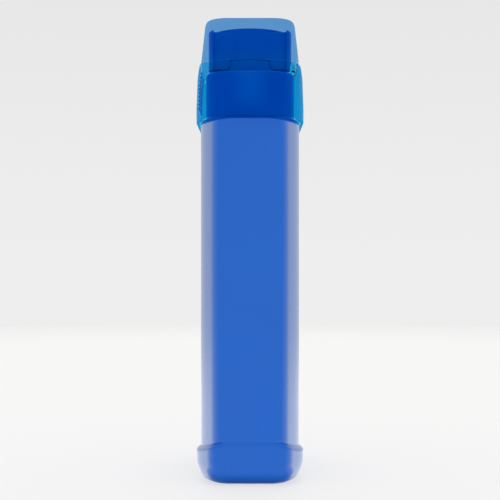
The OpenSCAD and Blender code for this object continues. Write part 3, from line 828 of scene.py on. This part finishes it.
# ---------------------------------------------------------------- collar
def collar():
    fam = family(25.7, 44.0, 16)
    outer = rounded([(0.9, 208.85, 0), (0, 208.42, 0.1), (0, 235.2, 3.2), (6.0, 235.2, 0)], seg=8)
    inner = rounded([(6.5, 233.2, 0), (1.8, 233.2, 1.0), (1.8, 209.3, 0.3), (0.9, 208.85, 0)], seg=5)
    rings = [lift(fam(q), z) for q, z in list(inner) + list(outer)[1:]]
    v, f = loft(rings, caps=(True, True))
    ob = make("blue_collar", v, f)
    solid = revolve("core", [tuple(p) for p in rounded([
        (16.6, 229.6, 0), (16.6, 213.8, 0.35), (18.4, 213.8, 0.35), (18.4, 233.0, 0), (BOSS_R, 233.4, 0), (BOSS_R, Z_BOSS, 0.7),
        (14.5, Z_BOSS, 1.1), (14.5, 229.6, 0)], 5)], 160, True)
    coring = revolve("coring", [(16.5, 231.4), (22.4, 231.4), (22.4, 242.6), (16.5, 242.6)], 160, True)
    bore = revolve("bore", [(0, 225), (MOUTH_R + 0.5, 225), (MOUTH_R + 0.5, 243), (0, 243)], 160, False)
    steps = [("DIFFERENCE", bore), ("UNION", solid), ("DIFFERENCE", coring)]
    for s in (-1, 1):
        a, b = sorted((s * 7.5, s * 14.5))
        steps.append(("UNION", rounded_box("seat", (-16.2, a, 228.6), (-15.2, b, 233.6), 0.1, 0.2)))
    steps.append(("DIFFERENCE", rounded_box("pocket", (-40, -15.2, Z_PLATE), (-17, 15.2, Z_PLATE + 2.4), 0.02, 0.4)))
    steps.append(("DIFFERENCE", rounded_box("slot", (-25.4, -5.6, Z_PLATE - 3), (-19.9, 5.6, Z_BOSS + 1), 0.02, 0.5)))
    for s in (-1, 1):
        a, b = sorted((s * 9.4, s * 14.6))
        steps.append(("DIFFERENCE", rounded_box("leg_slot", (-24.2, a, Z_PLATE - 2.5), (-17, b, Z_PLATE + 0.5), 0.02, 0.4)))
    return combine(ob, steps)


# ---------------------------------------------------------------- button
def button():
    z0, z1 = 216.27, 239.95
    ribs = [z0 + 1.35 + i * 2.32 for i in range(10)]
    zs = np.arange(z0, z1 + 0.001, 0.1)

    def section(amount, inset):
        """Closed outline in X and Z: ribbed face down one side, plain back up the other."""
        za = z0 + inset + (zs - z0) * (z1 - z0 - 2 * inset) / (z1 - z0)
        face = []
        for z in za:
            rise = 0.0
            for c in ribs:
                d = abs(z - c)
                rise = max(rise, float(1 - smooth((d - 0.22) / 0.62)))
            ends = float(smooth((z - z0) / 0.5) * smooth((z1 - z) / 0.5))
            x = -(30.95 - skirt_at(z) - 0.6) - rise * amount * 0.72 + (1 - ends) * 0.35 + inset
            face.append((x, z))
        back = [(-(30.95 - skirt_at(z) - 2.0) - inset * 0.4, z) for z in za[::-1]]
        return face + back

    stations = [(-15.0, 0.0, 0.35), (-14.9, 0.0, 0.15), (-14.6, 0.0, 0.0), (-14.3, 0.0, 0.0), (-14.0, 0.35, 0.0), (-13.6, 0.85, 0.0), (-13.1, 1.0, 0.0),
                (-9, 1.0, 0.0), (-4.5, 1.0, 0.0), (0, 1.0, 0.0)]
    stations += [(-y, a, i) for y, a, i in stations[:-1][::-1]]
    rings = []
    for y, a, i in stations:
        rings.append(np.array([(x, y, z) for x, z in section(a, i)]))
    v, f = loft(rings, caps=(True, True))
    ob = make("clear_button", v, f)
    tongue = rounded_box("tongue", (-28.6, -14.5, 235.5), (-19.3, 14.5, 237.3), 0.3, 0.8)
    tongue = combine(tongue, [("DIFFERENCE", rounded_box("w", (-26.3, -5.6, 234), (-21.7, 5.6, 239), 0.02, 0.6))])
    steps = [("UNION", tongue)]
    for s in (-1, 1):
        a, b = sorted((s * 9.8, s * 14.2))
        steps.append(("UNION", rounded_box("leg", (-23.4, a, 229.2), (-21.9, b, 236.0), 0.25, 0.3)))
        steps.append(("UNION", revolve("post", [tuple(p) for p in rounded([(0, -22.4, 0), (1.2, -22.4, 0), (1.2, -20.3, 0.3), (0, -20.3, 0)], 3)], 32, False, (s * 12.0, 231.5), "x")))
    return combine(ob, steps)


# ---------------------------------------------------------------- small metal and soft pieces
def springs():
    vs, fs = [], []
    x0, x1, r, w = -21.85, -16.25, 1.75, 0.25
    turns, per, k = 5.5, 28, 12
    n = int(turns * per)
    for s in (-1, 1):
        rings = []
        for i in range(n + 1):
            t = i / n * turns
            dead = 0.75
            lo, hi = x0 + w, x1 - w
            pitch = (hi - lo - 2 * dead * 2 * w * 1.02) / (turns - 2 * dead)
            if t < dead:
                x = lo + t * 2 * w * 1.02
            elif t > turns - dead:
                x = hi - (turns - t) * 2 * w * 1.02
            else:
                x = lo + dead * 2 * w * 1.02 + (t - dead) * pitch
            a = 2 * PI * t
            c = np.array([x, s * 12.0 + r * math.cos(a), 231.5 + r * math.sin(a)])
            out = np.array([0, math.cos(a), math.sin(a)])
            along = np.array([1.0, 0, 0])
            rings.append(np.array([c + w * (out * math.cos(b) + along * math.sin(b)) for b in np.linspace(0, 2 * PI, k, endpoint=False)]))
        v, f = loft(rings, caps=(True, True))
        o = sum(len(q) for q in vs)
        vs.append(v)
        fs += [tuple(i + o for i in g) for g in f]
    return make("coil_springs", np.concatenate(vs), fs)


def pins():
    a = rounded([(0, 22.5, 0), (PIN, 22.5, 0.12), (PIN, 9.5, 0.12), (0, 9.5, 0)], 3)
    one = revolve("steel_pins", [tuple(p) for p in a], 40, False, (HX, HZ), "y")
    b = rounded([(0, -9.5, 0), (PIN, -9.5, 0.12), (PIN, -22.5, 0.12), (0, -22.5, 0)], 3)
    two = revolve("p", [tuple(p) for p in b], 40, False, (HX, HZ), "y")
    return combine(one, [("UNION", two)])


def ring_piece(name, ri, ro, z0, z1, r=0.4):
    mid = (ri + ro) / 2
    p = rounded([(mid, z0, 0), (ro, z0, r), (ro, z1, r), (ri, z1, r), (ri, z0, r), (mid - 0.02, z0, 0)], 5)
    return revolve(name, [tuple(x) for x in p], 128, True)


place(bottle(), "bottle", "blue_body", "bottle_shell")
place(collar(), "cap", "blue_cap", "cap_collar", M_COLLAR)
place(skirt(), "cap", "clear_blue", "cap_skirt")
place(lid(), "lid", "clear_blue", "swing_lid", M_LID)
place(stopper(), "lid", "blue_cap", "stopper", M_STOPPER)
place(button(), "button", "clear_blue", "release_button")
coils = place(springs(), "cap", "pin_steel", "button_springs")
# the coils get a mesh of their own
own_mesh(coils)
place(pins(), "cap", "pin_steel", "hinge_pins")
place(ring_piece("soft_gasket", 14.7, 16.5, 228.0, 229.6), "cap", "silicone", "neck_gasket")
place(ring_piece("soft_seal", 15.45, 16.75, 244.4, 245.8), "lid", "silicone", "mouth_seal")

# ---------------------------------------------------------------- stage, light and camera
scene = bpy.context.scene
scene.view_settings.view_transform = "Standard"
scene.view_settings.look = "None"
scene.view_settings.exposure = 0.0
scene.view_settings.gamma = 1.0


def floor():
    rings = []
    n = 160
    a = np.linspace(0, 2 * PI, n, endpoint=False)
    cs = np.column_stack([np.cos(a), np.sin(a)])
    for r, z in ((60, 0), (300, 0), (700, 0), (1150, 0), (1200, 0), (1206, -2), (1208, -6)):
        rings.append(lift(cs * r, z - 0.0))
    v, f = loft(rings, caps=(True, False))
    ob = make("floor", v, f)
    mat, nt, p = nodes_of("floor")
    nt.links.new(mix_of(nt, noise_of(nt, 3.0, 2), (0.25, 0.25, 0.25), (0.27, 0.27, 0.27)), p.inputs["Base Color"])
    p.inputs["Roughness"].default_value = 0.7
    p.inputs["Specular IOR Level"].default_value = 0.2
    # a lit floor, a little brighter away from the middle
    tc = nt.nodes.new("ShaderNodeTexCoord")
    length = nt.nodes.new("ShaderNodeVectorMath")
    length.operation = "LENGTH"
    nt.links.new(tc.outputs["Object"], length.inputs[0])
    glow = spread(nt, length.outputs["Value"], 0.665, 0.655, 0.08, 0.55)
    glow = math_of(nt, "SUBTRACT", glow, spread(nt, length.outputs["Value"], 0.0, 0.062, 0.88, 1.19))
    # painted shadow: the floor's glow is taken away under the bottle, fading back in round its foot, so the floor is
    # darker there
    part = nt.nodes.new("ShaderNodeMapping")
    part.inputs["Scale"].default_value = (1 / 0.022, 1 / 0.0372, 1)
    nt.links.new(tc.outputs["Object"], part.inputs["Vector"])
    inside = nt.nodes.new("ShaderNodeVectorMath")
    inside.operation = "LENGTH"
    nt.links.new(part.outputs["Vector"], inside.inputs[0])
    clear = spread(nt, inside.outputs["Value"], 0.0, 1.0, 0.95, 1.12)
    nt.links.new(math_of(nt, "MULTIPLY", glow, clear), p.inputs["Emission Strength"])
    p.inputs["Emission Color"].default_value = (1, 0.995, 0.985, 1)
    ob.data.materials.append(mat)
    ob.data.polygons.foreach_set("use_smooth", [True] * len(ob.data.polygons))
    ob.visible_glossy = False
    return ob


floor()


def area(name, loc, target, sx, sy, radiance, camera=False):
    data = bpy.data.lights.new(name, "AREA")
    data.shape = "RECTANGLE"
    data.size, data.size_y = sx, sy
    data.energy = radiance * PI * sx * sy
    ob = bpy.data.objects.new(name, data)
    ob.location = loc
    d = Vector(target) - Vector(loc)
    ob.rotation_euler = d.to_track_quat("-Z", "Y").to_euler()
    ob.visible_camera = camera
    scene.collection.objects.link(ob)
    return ob


area("top_softbox", (0, 0.35, 1.9), (0, 0.1, 0), 1.6, 1.6, 1.1)

world = bpy.data.worlds.new("studio")
scene.world = world
world.use_nodes = True
wt = world.node_tree
wt.nodes.clear()
wo = wt.nodes.new("ShaderNodeOutputWorld")
bg = wt.nodes.new("ShaderNodeBackground")
wt.links.new(bg.outputs["Background"], wo.inputs["Surface"])
tc = wt.nodes.new("ShaderNodeTexCoord")
sep = wt.nodes.new("ShaderNodeSeparateXYZ")
wt.links.new(tc.outputs["Generated"], sep.inputs["Vector"])


def world_range(socket, a, b, lo, hi, kind="LINEAR"):
    m = wt.nodes.new("ShaderNodeMapRange")
    m.interpolation_type = kind
    for n, v in zip(("From Min", "From Max", "To Min", "To Max"), (a, b, lo, hi)):
        m.inputs[n].default_value = v
    wt.links.new(socket, m.inputs["Value"])
    return m.outputs["Result"]


# brightness by height, then a little dimmer round to the front
height = world_range(sep.outputs["Z"], 0.0, 0.30, 0.855, 0.79)
under = world_range(sep.outputs["Z"], -0.15, -0.078, 1.56, 1.0, "SMOOTHSTEP")
side = world_range(sep.outputs["Y"], -0.3, 0.8, 0.88, 1.0, "SMOOTHSTEP")
total = math_of(wt, "MULTIPLY", math_of(wt, "MULTIPLY", height, under), side)
wt.links.new(total, bg.inputs["Color"])
bg.inputs["Strength"].default_value = 1.0

cam_data = bpy.data.cameras.new("camera")
cam_data.lens = 72.0
cam_data.sensor_width = 36.0
cam_data.sensor_fit = "HORIZONTAL"
cam_data.clip_start = 0.01
cam = bpy.data.objects.new("camera", cam_data)
cam.location = (0.0, -0.610, 0.1331)
cam.rotation_euler = (PI / 2, 0, 0)
scene.collection.objects.link(cam)
scene.camera = cam
